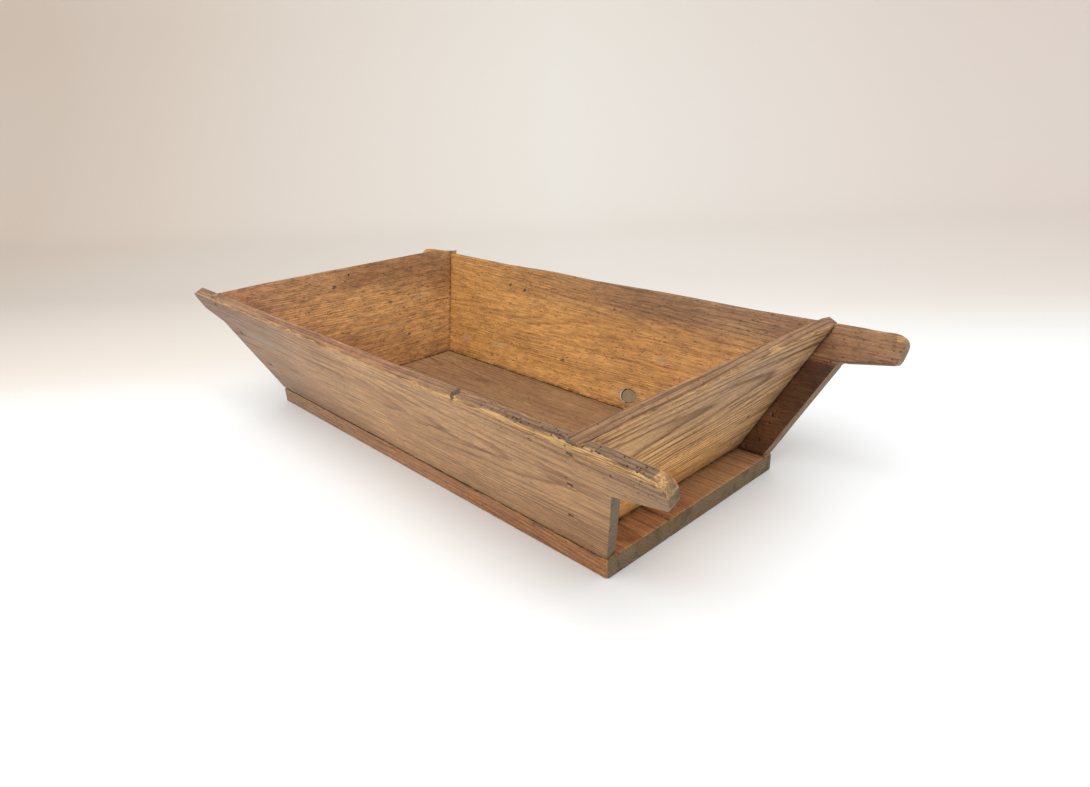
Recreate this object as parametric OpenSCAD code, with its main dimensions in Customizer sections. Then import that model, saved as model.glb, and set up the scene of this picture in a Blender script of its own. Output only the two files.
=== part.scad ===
// Splayed wooden trough, nailed together from six boards.
// The two side boards run past the end boards and form four carrying horns.
// Origin: centre of the underside. +X along the trough, +Z up, units in mm.

/* [Bottom] */
// Length of the bottom along X
bottom_l = 756; // [700:1:770]
// Width of the bottom along Y
bottom_w = 336; // [320:1:360]
// Thickness of the bottom planks
bottom_t = 24; // [20:1:30]
// Width of the narrow plank under the front side board
front_plank_w = 108; // [80:1:200]

/* [Side boards] */
// Thickness of a side board
side_t = 16; // [14:0.5:22]
// Lean of the side boards away from upright, in degrees
side_splay = 25.5; // [15:0.5:35]
// How far a side board's foot stands in from the bottom's edge
foot_inset = 0.5; // [0:0.1:4]
// Half length of a side board at its foot
side_foot_x = 376.5; // [360:0.5:385]
// Height of the front side board, measured up its outer face
front_side_h = 191; // [170:1:200]
// Height of the rear side board, measured up its outer face
rear_side_h = 186; // [170:1:200]

/* [Horns] */
// Height up the board where the underside of a horn begins
horn_root_h = 137; // [110:1:145]
// Height up the board of a horn's lowest corner at its tip, front board
front_tip_h = 154; // [146:1:160]
// Height up the board of a horn's lowest corner at its tip, rear board
rear_tip_h = 149; // [146:1:160]
// Distance from the origin to the right-hand tips
tip_right = 508; // [480:1:520]
// Distance from the origin to the left-hand tips
tip_left = 494; // [480:1:520]
// How much farther out a tip reaches at its top than at its underside
tip_lean = 6; // [0:1:12]
// Radius of a tip's upper corner
tip_top_r = 13; // [4:1:15]
// Radius of a tip's lower corner
tip_low_r = 6; // [3:1:12]
// Radius of the inside corner where a horn meets the sloping end cut
root_r = 6; // [2:1:12]

/* [End boards] */
// Thickness of an end board
end_t = 17; // [14:0.5:22]
// Lean of the end boards away from upright, in degrees
end_splay = 25; // [15:0.5:30]
// Distance from the origin to an end board's outer foot
end_foot_x = 335; // [300:1:345]
// Height of the right end board, measured up its outer face
right_end_h = 192; // [170:1:200]
// Height of the left end board, measured up its outer face
left_end_h = 194; // [170:1:200]
// Depth of the grooves that hold the end boards in the side boards
dado_depth = 10.5; // [4:0.5:12]
// Radius of the hanging hole near the top of the left end board
hang_hole_r = 2; // [1.5:0.5:4]
// Distance of the hanging hole below the left end board's outer top edge
hang_hole_drop = 15; // [8:1:30]
// Place of the hanging hole along Y
hang_hole_y = -4; // [-60:1:60]

/* [Loose knot] */
// Radius of the hole left by the branch
knot_r = 11; // [6:0.5:12]
// Lean of the branch away from square to the board, in degrees
knot_lean = 44; // [0:1:50]
// Place of the knot along X, on the inner face
knot_x = 134.5; // [-250:0.5:250]
// Height of the knot above the floor, up the inner face
knot_h = 22; // [20:1:120]
// Gap between the shrunken knot and its hole
knot_gap = 0.5; // [0.2:0.1:1.5]

/* [Nails] */
// Length of a nail
nail_l = 60; // [45:1:65]
// Thickness of a nail's shank across its flat sides
nail_t = 3; // [2:0.5:4]
// Breadth of the shank under the head
shank_w = 4.5; // [3:0.5:6]
// Breadth of the shank at its blunt tip
nail_tip_w = 1.5; // [1:0.5:2.5]
// Breadth of the head along the grain
head_w = 7; // [5:0.5:10]
// Depth of the head
head_h = 3; // [2:0.5:4]
// How far the hammered heads are sunk below the wood
nail_sink = 0.4; // [0.2:0.1:0.8]

/* [Hidden] */

// Half width from the centre line to a side board's outer foot
side_foot_y = bottom_w / 2 - foot_inset;
// Run of the end cut for each unit of height up a side board, so that it is parallel to the end board
cut_run = tan(end_splay) * cos(side_splay);
// Place of the seam between the two bottom planks
seam_y = front_plank_w - bottom_w / 2;
// Length of board below the floor line before its foot is bevelled
skirt = 25;
// Half size of the block that keeps everything above the floor line
reach = 700;
// Extra height that leaves a groove open at the top
open_top = 60;
// Heights of the side nails up the side boards' outer faces
side_nail_h = [62, 125, 180];
// Places along X of the nails that hold the side boards to the bottom
long_nail_x = [-300, -150, 0, 150, 300];
// Places along Y of the nails that hold the end boards to the bottom
cross_nail_y = [-110, 20, 110];
// How far a nail hole reaches out of the wood
hole_reach = 6;
$fn = 64;

function unit(v) = v / norm(v);

// Points of the arc of radius r that rounds the corner at b on the path a, b, c
function corner(a, b, c, r, steps = 8) =
    let (
        u = unit(a - b),
        w = unit(c - b),
        half = acos(u * w) / 2,
        centre = b + unit(u + w) * r / sin(half),
        first = b + u * r / tan(half) - centre,
        start = atan2(first.y, first.x),
        turn = sign(cross(b - a, c - b)) * (180 - 2 * half)
    )
    [for (i = [0 : steps]) centre + r * [cos(start + turn * i / steps), sin(start + turn * i / steps)]];

// Right-hand end of a side board, from its foot round the horn to the top edge
function horn_path(top_h, tip_h, tip_x) =
    let (
        foot = [side_foot_x - skirt * cut_run, -skirt],
        root = [side_foot_x + horn_root_h * cut_run, horn_root_h],
        low = [tip_x - tip_lean, tip_h],
        high = [tip_x, top_h],
        middle = [0, top_h]
    )
    concat(
        [foot],
        corner(foot, root, low, root_r),
        corner(root, low, high, tip_low_r),
        corner(low, high, middle, tip_top_r)
    );

// Outline of a side board: right-hand end, then the left-hand end in reverse
function side_outline(top_h, tip_h) =
    let (left = horn_path(top_h, tip_h, tip_left))
    concat(
        horn_path(top_h, tip_h, tip_right),
        [for (i = [len(left) - 1 : -1 : 0]) [-left[i].x, left[i].y]]
    );

// Half width between the grooves' floors at height z
function groove_y(z) =
    side_foot_y + (z - bottom_t) * tan(side_splay) - (side_t - dado_depth) / cos(side_splay);

// Place along X of the middle of an end board's thickness at height z
function end_middle_x(z) = end_foot_x - end_t / 2 / cos(end_splay) + (z - bottom_t) * tan(end_splay);

// Place along Y of the middle of a side board's thickness at the underside of the bottom
function side_middle_y() = side_foot_y - side_t / 2 / cos(side_splay) - bottom_t * tan(side_splay);

// Puts a shape drawn flat onto the front side board: X along it, Y up it, Z outward
module on_front_side() {
    translate([0, -side_foot_y, bottom_t])
        rotate([90 + side_splay, 0, 0])
            children();
}

// Puts a shape drawn flat onto the right end board: X along +Y, Y up it, Z outward
module on_right_end() {
    translate([end_foot_x, 0, bottom_t])
        rotate([90, 0, 90])
            rotate([end_splay, 0, 0])
                children();
}

module above_floor() {
    translate([-reach, -reach, bottom_t])
        cube([2 * reach, 2 * reach, reach]);
}

module end_blank(height) {
    wide = groove_y(bottom_t + height) + skirt;
    intersection() {
        on_right_end()
            translate([-wide, -skirt, -end_t])
                cube([2 * wide, skirt + height, end_t]);
        rotate([90, 0, 90])
            linear_extrude(reach)
                polygon([
                    [-groove_y(bottom_t), bottom_t],
                    [groove_y(bottom_t), bottom_t],
                    [groove_y(bottom_t + height + skirt), bottom_t + height + skirt],
                    [-groove_y(bottom_t + height + skirt), bottom_t + height + skirt]
                ]);
    }
}

// A cut nail standing head up at z = 0, with its point down and its head along X
module nail(top = 0) {
    rotate([90, 0, 0])
        translate([0, 0, -nail_t / 2])
            linear_extrude(nail_t)
                polygon([
                    [-head_w / 2, top],
                    [-head_w / 2, -head_h],
                    [-shank_w / 2, -head_h],
                    [-nail_tip_w / 2, -nail_l],
                    [nail_tip_w / 2, -nail_l],
                    [shank_w / 2, -head_h],
                    [head_w / 2, -head_h],
                    [head_w / 2, top]
                ]);
}

// Nails driven level through the front side board into the right end board
module front_right_nails(top) {
    for (h = side_nail_h) {
        z = bottom_t + h * cos(side_splay);
        translate([end_middle_x(z), -side_foot_y - h * sin(side_splay), z])
            rotate([90, 0, 0])
                nail(top);
    }
}

// Nails driven from below along the lean of the front side board
module front_bottom_nails(top) {
    for (x = long_nail_x)
        translate([x, -side_middle_y(), 0])
            rotate([180 + side_splay, 0, 0])
                nail(top);
}

// Nails driven from below along the lean of the right end board
module right_bottom_nails(top) {
    for (y = cross_nail_y)
        translate([end_middle_x(0), y, 0])
            rotate([0, end_splay, 0])
                rotate([180, 0, 0])
                    rotate([0, 0, 90])
                        nail(top);
}

// Keeps what lies under the front side board's outer face, less the depth the nails are sunk
module under_front_face() {
    on_front_side()
        translate([-reach, -reach, -reach - nail_sink])
            cube([2 * reach, 2 * reach, reach]);
}

// Keeps what lies above the underside of the bottom, less the depth the nails are sunk
module above_underside() {
    translate([-reach, -reach, nail_sink])
        cube([2 * reach, 2 * reach, reach]);
}

module all_bottom_nail_holes() {
    for (side = [0, 1]) {
        mirror([0, side, 0])
            front_bottom_nails(hole_reach);
        mirror([side, 0, 0])
            right_bottom_nails(hole_reach);
    }
}

// The branch that ran through the rear side board, in the front board's mirrored place
module branch(radius, shift) {
    on_front_side()
        translate([knot_x + shift, knot_h - side_t * tan(side_splay), -side_t])
            rotate([0, -knot_lean, 0])
                cylinder(h = 4 * side_t, r = radius, center = true);
}

// A side board in the front place, with its foot bevelled and two grooves for the end boards
module side_board(top_h, tip_h) {
    difference() {
        intersection() {
            on_front_side()
                translate([0, 0, -side_t])
                    linear_extrude(side_t)
                        polygon(side_outline(top_h, tip_h));
            above_floor();
        }
        for (side = [0, 1])
            mirror([side, 0, 0]) {
                end_blank(right_end_h + open_top);
                front_right_nails(hole_reach);
            }
        front_bottom_nails(hole_reach);
    }
}

module end_board(height) {
    difference() {
        end_blank(height);
        for (side = [0, 1])
            mirror([0, side, 0])
                front_right_nails(hole_reach);
        right_bottom_nails(hole_reach);
    }
}

module bottom_plank(low_y, high_y) {
    difference() {
        translate([-bottom_l / 2, low_y, 0])
            cube([bottom_l, high_y - low_y, bottom_t]);
        all_bottom_nail_holes();
    }
}

module side_nails() {
    intersection() {
        front_right_nails(hole_reach);
        under_front_face();
    }
}

module bottom_plank_front() {
    color("#8a5a38") bottom_plank(-bottom_w / 2, seam_y);
}

module bottom_plank_rear() {
    color("#7d5635") bottom_plank(seam_y, bottom_w / 2);
}

module front_side_board() {
    color("#96714f") side_board(front_side_h, front_tip_h);
}

module rear_side_board() {
    color("#a8743f")
        mirror([0, 1, 0])
            difference() {
                side_board(rear_side_h, rear_tip_h);
                branch(knot_r, 0);
            }
}

module left_end_board() {
    color("#a0703f")
        difference() {
            mirror([1, 0, 0])
                end_board(left_end_h);
            mirror([1, 0, 0])
                on_right_end()
                    translate([hang_hole_y, left_end_h - hang_hole_drop, -end_t / 2])
                        cylinder(h = 3 * end_t, r = hang_hole_r, center = true);
        }
}

module right_end_board() {
    color("#a57a4e") end_board(right_end_h);
}

module loose_knot() {
    color("#5d4f3a")
        mirror([0, 1, 0])
            intersection() {
                branch(knot_r - knot_gap, knot_gap * 0.8);
                on_front_side()
                    translate([-reach, -reach, knot_gap - side_t])
                        cube([2 * reach, 2 * reach, side_t - 2 * knot_gap]);
            }
}

module side_nails_front_left() {
    color("#3b2f28")
        mirror([1, 0, 0])
            side_nails();
}

module side_nails_front_right() {
    color("#3b2f28") side_nails();
}

module side_nails_rear_left() {
    color("#3b2f28")
        mirror([1, 0, 0])
            mirror([0, 1, 0])
                side_nails();
}

module side_nails_rear_right() {
    color("#3b2f28")
        mirror([0, 1, 0])
            side_nails();
}

module bottom_nails_front() {
    color("#3b2f28")
        intersection() {
            front_bottom_nails(hole_reach);
            above_underside();
        }
}

module bottom_nails_rear() {
    color("#3b2f28")
        mirror([0, 1, 0])
            intersection() {
                front_bottom_nails(hole_reach);
                above_underside();
            }
}

module bottom_nails_left() {
    color("#3b2f28")
        mirror([1, 0, 0])
            intersection() {
                right_bottom_nails(hole_reach);
                above_underside();
            }
}

module bottom_nails_right() {
    color("#3b2f28")
        intersection() {
            right_bottom_nails(hole_reach);
            above_underside();
        }
}

bottom_plank_front();
bottom_plank_rear();
front_side_board();
rear_side_board();
left_end_board();
right_end_board();
loose_knot();
side_nails_front_left();
side_nails_front_right();
side_nails_rear_left();
side_nails_rear_right();
bottom_nails_front();
bottom_nails_rear();
bottom_nails_left();
bottom_nails_right();
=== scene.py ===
import math
import random

import bmesh
import bpy
import numpy as np
from mathutils import Matrix, Vector, noise
from mathutils.geometry import delaunay_2d_cdt


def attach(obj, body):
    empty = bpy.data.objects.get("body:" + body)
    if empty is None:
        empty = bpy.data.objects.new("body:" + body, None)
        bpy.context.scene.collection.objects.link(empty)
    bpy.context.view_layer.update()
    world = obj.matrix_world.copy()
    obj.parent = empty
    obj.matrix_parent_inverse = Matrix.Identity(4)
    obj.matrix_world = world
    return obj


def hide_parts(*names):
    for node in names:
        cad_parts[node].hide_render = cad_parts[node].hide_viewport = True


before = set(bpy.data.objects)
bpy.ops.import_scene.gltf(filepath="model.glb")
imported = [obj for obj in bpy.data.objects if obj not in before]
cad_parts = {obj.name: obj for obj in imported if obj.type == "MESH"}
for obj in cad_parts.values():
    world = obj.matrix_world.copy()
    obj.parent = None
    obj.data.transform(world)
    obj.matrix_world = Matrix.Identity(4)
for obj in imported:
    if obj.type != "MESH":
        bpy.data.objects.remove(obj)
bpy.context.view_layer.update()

MM = 0.001

# ---------------- camera, stage and light

CAMERA_AT = Vector((0.7906, -0.6372, 0.4672))
CAMERA_AZIMUTH = math.radians(46.70)
CAMERA_PITCH = math.radians(22.00)
CAMERA_ROLL = math.radians(2.20)
LENS = 23.44
SENSOR = 36.0
FLOOR_NEAR = -2.6
CURVE_START = 1.9
CURVE_RADIUS = 0.9
CURVE_STEPS = 16
WALL_TOP = 2.6
HALF_WIDTH = 5.0
FLOOR_COLOUR = (0.86, 0.86, 0.86, 1)
NEAR_WHITE = (1.045, 1.08, 1.10)
WORLD_WHITE = (1.12, 1.11, 1.09)
# Backdrop beige from left to right; the darker left end is painted falloff of light.
BACKDROP_TONES = [(0.76, 0.655, 0.56), (0.85, 0.775, 0.70), (0.92, 0.885, 0.83), (0.90, 0.81, 0.75)]
WORLD_COLOUR = (1.0, 0.996, 0.99, 1)
WORLD_STRENGTH = 0.90
LAMP_AT = Vector((0.2, -0.9, 2.2))
LAMP_TARGET = Vector((0, 0.1, 0))
LAMP_SIZE = (2.8, 2.0)
LAMP_POWER = 37
LAMP_COLOUR = (1.0, 0.995, 0.985)


def camera_axes():
    """Right, up and backward axes of a camera with the given heading, pitch and roll."""
    sin_a, cos_a = math.sin(CAMERA_AZIMUTH), math.cos(CAMERA_AZIMUTH)
    sin_p, cos_p = math.sin(CAMERA_PITCH), math.cos(CAMERA_PITCH)
    forward = Vector((-sin_a * cos_p, cos_a * cos_p, -sin_p))
    right = Vector((cos_a, sin_a, 0))
    down = forward.cross(right)
    rolled_right = right * math.cos(CAMERA_ROLL) + down * math.sin(CAMERA_ROLL)
    rolled_down = down * math.cos(CAMERA_ROLL) - right * math.sin(CAMERA_ROLL)
    return rolled_right, -rolled_down, -forward


def make_camera():
    data = bpy.data.cameras.new("camera")
    data.lens = LENS
    data.sensor_width = SENSOR
    data.clip_start = 0.01
    camera = make_object("camera", data)
    axes = Matrix(camera_axes()).transposed().to_4x4()
    camera.matrix_world = Matrix.Translation(CAMERA_AT) @ axes
    bpy.context.scene.camera = camera


def make_object(name, data):
    made = bpy.data.objects.new(name, data)
    bpy.context.scene.collection.objects.link(made)
    return made


def backdrop_tone(ahead, across):
    """Cool white near the trough, then beige: nearer on the left, darker there and in a dim band, which
    are painted falloff of light.
    """
    start = np.interp(across, (-0.9, -0.5, 0.0, 0.9), (-0.05, 0.0, 0.30, 0.15))
    far = float(np.clip((ahead - start) / np.interp(across, (-0.9, 0.9), (0.45, 0.60)), 0, 1))
    far = far * far * (3 - 2 * far)
    # Painted falloff of light: a dim band across the backdrop
    painted_falloff = np.interp(across, (-0.9, 0.9), (0.18, 0.05)) * np.interp(ahead, (0.35, 1.0, 2.2), (0, 1, 0))
    wall = [np.interp(across, (-2.2, -1.0, 0.2, 2.2), c) * (1 - painted_falloff) for c in zip(*BACKDROP_TONES)]
    return [n + (w - n) * far for n, w in zip(NEAR_WHITE, wall)] + [1.0]


def fade_to_world(tone, across, height):
    """Pale again towards the backdrop's sides and top, so that its edges don't show."""
    side = np.clip((abs(across) - 3.2) / 1.8, 0, 1)
    top = np.clip((height - 1.5) / 0.9, 0, 1)
    return [t + (w - t) * max(side, top) for t, w in zip(tone, (*WORLD_WHITE, 1.0))]


def stage_places():
    """Rows from the floor's near edge, up a curve to the top of the wall, and columns across."""
    floor = np.concatenate([[FLOOR_NEAR], np.arange(-0.4, CURVE_START + 0.01, 0.1)])
    rows = [(ahead, 0.0) for ahead in floor]
    for i in range(1, CURVE_STEPS + 1):
        turn = math.radians(90 * i / CURVE_STEPS)
        rows.append((CURVE_START + CURVE_RADIUS * math.sin(turn), CURVE_RADIUS * (1 - math.cos(turn))))
    rows += [(CURVE_START + CURVE_RADIUS, z) for z in np.arange(1.2, WALL_TOP + 0.01, 0.2)]
    left, middle, right = np.arange(-4.2, -2.5, 0.4), np.arange(-2.4, 2.41, 0.2), np.arange(2.8, 4.3, 0.4)
    return rows, np.concatenate([[-HALF_WIDTH], left, middle, right, [HALF_WIDTH]])


def stage_mesh():
    rows, columns = stage_places()
    ahead = Vector((-math.sin(CAMERA_AZIMUTH), math.cos(CAMERA_AZIMUTH), 0))
    across = Vector((math.cos(CAMERA_AZIMUTH), math.sin(CAMERA_AZIMUTH), 0))
    points = [ahead * a + across * b + Vector((0, 0, z)) for a, z in rows for b in columns]
    tones = [fade_to_world(backdrop_tone(a, b), b, z) for a, z in rows for b in columns]
    wide = len(columns)
    quads = [(r * wide + c, r * wide + c + 1, (r + 1) * wide + c + 1, (r + 1) * wide + c)
             for r in range(len(rows) - 1) for c in range(wide - 1)]
    mesh = bpy.data.meshes.new("floor")
    mesh.from_pydata(points, [], quads)
    mesh.shade_smooth()
    layer = mesh.attributes.new("tone", "FLOAT_COLOR", "POINT")
    layer.data.foreach_set("color", np.array(tones, np.float32).ravel())
    return mesh


def make_stage():
    """A pale floor that curves up into a backdrop behind the trough."""
    mesh = stage_mesh()
    paint = Nodes("floor_paint")
    tone = paint.add("Attribute", attribute_name="tone").outputs["Color"]
    paint.use("Base Color", paint.mix(1.0, tone, FLOOR_COLOUR, "MULTIPLY"))
    paint.use("Roughness", 0.6)
    mesh.materials.append(paint.material)
    make_object("floor", mesh)


def make_lights():
    """An even studio world and one large soft lamp overhead."""
    world = bpy.data.worlds.new("studio")
    world.use_nodes = True
    background = world.node_tree.nodes["Background"]
    background.inputs["Color"].default_value = WORLD_COLOUR
    background.inputs["Strength"].default_value = WORLD_STRENGTH
    bpy.context.scene.world = world
    data = bpy.data.lights.new("overhead", "AREA")
    data.shape = "RECTANGLE"
    data.size, data.size_y = LAMP_SIZE
    data.energy = LAMP_POWER
    data.color = LAMP_COLOUR
    lamp = make_object("overhead", data)
    lamp.location = LAMP_AT
    lamp.rotation_mode = "QUATERNION"
    lamp.rotation_quaternion = (LAMP_TARGET - LAMP_AT).to_track_quat("-Z", "Y")
    bpy.context.scene.view_settings.view_transform = "Standard"


# ---------------- flat faces of a CAD node

FLAT = math.cos(math.radians(1.0))
SHARP = math.cos(math.radians(25.0))


def cad_faces(node):
    """Corners of a CAD node, its flat faces, each with a unit normal, area and middle, and the edges
    between faces.
    """
    mesh = bmesh.new()
    mesh.from_mesh(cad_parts[node].data)
    bmesh.ops.remove_doubles(mesh, verts=mesh.verts, dist=2e-6)
    bmesh.ops.dissolve_degenerate(mesh, edges=mesh.edges, dist=1e-6)
    mesh.normal_update()
    mesh.verts.index_update()
    corners = np.array([v.co[:] for v in mesh.verts])
    group_of, faces = {}, []
    for seed in sorted(mesh.faces, key=lambda f: -f.calc_area()):
        if seed in group_of:
            continue
        members, waiting = [], [seed]
        group_of[seed] = len(faces)
        while waiting:
            face = waiting.pop()
            members.append(face)
            for edge in face.edges:
                for other in edge.link_faces:
                    if other not in group_of and other.normal.dot(seed.normal) > FLAT:
                        group_of[other] = len(faces)
                        waiting.append(other)
        faces.append((np.array(seed.normal[:]), members))
    edges = {}
    for edge in mesh.edges:
        sides = sorted({group_of[f] for f in edge.link_faces})
        if len(sides) == 2:
            edges[tuple(sorted(v.index for v in edge.verts))] = tuple(sides)
    plain = []
    for normal, members in faces:
        area = sum(f.calc_area() for f in members)
        middle = sum((f.calc_center_median() * f.calc_area() for f in members), Vector()) / area
        plain.append({"normal": normal, "area": area, "middle": np.array(middle[:])})
    mesh.free()
    return corners, plain, edges


# ---------------- boards as fine meshes

STEP_ALONG = 4.0 * MM
STEP_ACROSS = 2.6 * MM
EDGE_STEP = 2.2 * MM
COARSE_STEP = 14.0 * MM
SMALL_FACE = 1.0e-4
RINGS = [0.45 * MM, 1.0 * MM, 1.7 * MM, 2.6 * MM, 4.0 * MM]
SMOOTHING = 2
PIT_SIDES = 8
WEAR_LIMIT = 14 * MM
SLIVER = 1e-9


def segment_distance(points, starts, ends):
    """Distance in the plane from each point to the nearest segment."""
    best = np.full(len(points), 1e9)
    for a, b in zip(starts, ends):
        along = b - a
        t = np.clip(((points - a) @ along) / max(along @ along, 1e-18), 0, 1)
        best = np.minimum(best, np.hypot(*(points - a - t[:, None] * along).T))
    return best


def inside(points, starts, ends):
    """True for points inside the area that the segments bound."""
    odd = np.zeros(len(points), bool)
    x, y = points.T
    for (ax, ay), (bx, by) in zip(starts, ends):
        if ay == by:
            continue
        crosses = (y < ay) != (y < by)
        odd ^= crosses & (x < ax + (y - ay) * (bx - ax) / (by - ay))
    return odd


def regions(triangles, walls):
    """Groups of triangles that touch without an edge of walls between them."""
    sides = {}
    for n, t in enumerate(triangles):
        for i in range(3):
            sides.setdefault(frozenset((t[i], t[i - 1])), []).append(n)
    seen = set()
    for first in range(len(triangles)):
        if first in seen:
            continue
        seen.add(first)
        group, waiting = [], [first]
        while waiting:
            n = waiting.pop()
            group.append(n)
            t = triangles[n]
            for i in range(3):
                key = frozenset((t[i], t[i - 1]))
                if key in walls:
                    continue
                for other in sides[key]:
                    if other not in seen:
                        seen.add(other)
                        waiting.append(other)
        yield group


def add_pits(points, pits, starts, ends):
    """Clears the points of a face where beetle holes go, adds theirs, and says how deep each is."""
    depths = np.zeros(len(points))
    for x, y, radius, depth in pits:
        centre = np.array([[x, y]])
        edge = segment_distance(centre, starts, ends)[0]
        if edge < radius * 1.6 or not inside(centre, starts, ends)[0]:
            continue
        clear = np.hypot(*(points - centre).T) > radius * 1.35
        points, depths = points[clear], depths[clear]
        turns = np.arange(PIT_SIDES) * math.tau / PIT_SIDES + x * 1e4
        ring = np.column_stack([np.cos(turns), np.sin(turns)]) * radius
        points = np.concatenate([points, centre + ring, centre + ring * 0.82, centre])
        depths = np.concatenate([depths, np.zeros(PIT_SIDES), np.full(PIT_SIDES + 1, depth)])
    return list(points), list(depths)


def face_axes(normal, grain):
    """Two axes in a face, the first along the grain where it can be."""
    across = np.cross(normal, grain)
    if np.linalg.norm(across) < 0.5:
        across = np.cross(normal, (0.0, 0.0, 1.0) if abs(normal[2]) < 0.9 else (0.0, 1.0, 0.0))
        across /= np.linalg.norm(across)
        return np.cross(across, normal), across
    across /= np.linalg.norm(across)
    return np.cross(across, normal), across


class Board:
    """A fine mesh with the shape of a CAD node, whose arrises can be worn and faces pitted."""

    def __init__(self, node, grain, outward):
        self.node = node
        self.grain = np.array(grain, float)
        self.outward = np.array(outward, float) / np.linalg.norm(outward)
        self.axis = int(np.argmax(np.abs(self.grain)))
        self.up = np.cross(self.outward, self.grain)
        self.up *= np.sign(self.up[2]) or 1
        self.corners, self.faces, self.edges = cad_faces(node)
        self.kinds = [self.kind_of(face["normal"]) for face in self.faces]
        self.points = [c for c in self.corners]
        self.members = [set() for _ in self.faces]
        self.triangles = []
        self.sunk = {}
        self.chains = {}
        for (a, b), sides in self.edges.items():
            self.split_edge(a, b, sides)

    def kind_of(self, normal):
        """What a face of the board is called, from the way it looks."""
        if abs(normal @ self.grain) > 0.6:
            return "end"
        if normal @ self.outward > 0.8:
            return "outer"
        if normal @ self.outward < -0.8:
            return "inner"
        return "top" if normal[2] > 0.3 else "foot"

    def split_edge(self, a, b, sides):
        length = np.linalg.norm(self.corners[b] - self.corners[a])
        fine = min(self.faces[f]["area"] for f in sides) > SMALL_FACE or length < 8 * MM
        count = max(1, round(length / (EDGE_STEP if fine else COARSE_STEP)))
        chain = [a]
        for i in range(1, count):
            self.points.append(self.corners[a] + (self.corners[b] - self.corners[a]) * i / count)
            chain.append(len(self.points) - 1)
        chain.append(b)
        self.chains[a, b] = chain
        for f in sides:
            self.members[f].update(chain)

    def rim_keys(self, index):
        return [key for key, sides in self.edges.items() if index in sides]

    def fill_face(self, index, pits=()):
        """Fills a flat face with small triangles, between the split edges around it."""
        face = self.faces[index]
        u, v = face_axes(face["normal"], self.grain)
        keys = self.rim_keys(index)
        flat = lambda p: np.array([p @ u, p @ v])
        starts = [flat(self.corners[a]) for a, b in keys]
        ends = [flat(self.corners[b]) for a, b in keys]
        chains = [self.chains[k] for k in keys]
        rim = sorted({i for chain in chains for i in chain})
        place = {i: n for n, i in enumerate(rim)}
        rim_flat = [flat(self.points[i]) for i in rim]
        ties = [(place[c[i]], place[c[i + 1]]) for c in chains for i in range(len(c) - 1)]
        height = face["middle"] @ face["normal"]
        inner, depths = self.inner_points(face, starts, ends, keys, flat, pits)
        first = len(self.points)
        for (a, b), depth in zip(inner, depths):
            self.points.append(u * a + v * b + face["normal"] * height)
            if depth:
                self.sunk[len(self.points) - 1] = (face["normal"], depth)
        ids = rim + list(range(first, len(self.points)))
        self.members[index].update(range(first, len(self.points)))
        flat_all = np.array(rim_flat + list(inner)) if len(inner) else np.array(rim_flat)
        centre = flat_all.mean(0)
        result = delaunay_2d_cdt([Vector((p - centre) * 100) for p in flat_all], ties, [], 0, 1e-9)
        made = [[result[3][i][0] for i in t] for t in result[2]]
        for region in regions(made, {frozenset(t) for t in ties}):
            corners = flat_all[np.array([made[i] for i in region])]
            one, two = corners[:, 1] - corners[:, 0], corners[:, 2] - corners[:, 0]
            doubled = np.abs(one[:, 0] * two[:, 1] - one[:, 1] * two[:, 0])
            middle = corners[np.argmax(doubled)].mean(0)
            if doubled.max() > SLIVER and inside(middle[None], starts, ends)[0]:
                self.triangles += [[ids[i] for i in made[t]] for t in region]

    def inner_points(self, face, starts, ends, keys, flat, pits):
        """Points inside a face: a grid, rings that follow its edges, and the rims of beetle holes."""
        if face["area"] < SMALL_FACE:
            return [], []
        low, high = np.min(starts + ends, 0), np.max(starts + ends, 0)
        columns = np.arange(low[0] + STEP_ALONG / 2, high[0], STEP_ALONG)
        rows = np.arange(low[1] + STEP_ACROSS / 2, high[1], STEP_ACROSS)
        grid = [(x + (j % 2) * STEP_ALONG / 2, y) for j, y in enumerate(rows) for x in columns]
        grid = np.array(grid)
        gap = segment_distance(grid, starts, ends)
        grid = grid[inside(grid, starts, ends) & (gap > RINGS[-1] * 1.25)]
        rings = []
        for k, a, b in zip(keys, starts, ends):
            along = (b - a) / max(np.linalg.norm(b - a), 1e-9)
            side = np.array([-along[1], along[0]])
            for n, i in enumerate(self.chains[k]):
                p = flat(self.points[i])
                for m, d in enumerate(RINGS):
                    if m < 3 or n % 2 == m % 2:
                        rings += [(p + side * d, d), (p - side * d, d)]
        where = np.array([p for p, d in rings])
        wanted = np.array([d for p, d in rings])
        good = inside(where, starts, ends) & (segment_distance(where, starts, ends) > wanted * 0.97)
        points = np.concatenate([grid, where[good]])
        cell = np.round(points / (0.3 * MM)).astype(int)
        points = points[np.unique(cell, axis=0, return_index=True)[1]]
        return add_pits(points, pits, starts, ends)

    def rounded_clusters(self):
        """Convex sharp edges between the board's larger faces, in runs that turn gently."""
        found = []
        for (a, b), (f, g) in self.edges.items():
            nf, ng = self.faces[f]["normal"], self.faces[g]["normal"]
            if nf @ ng > SHARP or min(self.faces[f]["area"], self.faces[g]["area"]) < 0.1e-4:
                continue
            if (self.faces[g]["middle"] - self.corners[a]) @ nf > 1e-6:
                continue
            found.append([a, b, f, g])
        runs = list(range(len(found)))
        for i, (a, b, f, g) in enumerate(found):
            for j in range(i):
                c, d, h, k = found[j]
                if not {a, b} & {c, d} or not {f, g} & {h, k}:
                    continue
                one, two = self.corners[b] - self.corners[a], self.corners[d] - self.corners[c]
                if abs(one @ two) > 0.85 * np.linalg.norm(one) * np.linalg.norm(two):
                    old, new = runs[i], runs[j]
                    runs = [new if r == old else r for r in runs]
        clusters = {}
        for run, edge in zip(runs, found):
            clusters.setdefault(run, []).append(edge)
        return list(clusters.values())

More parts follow.
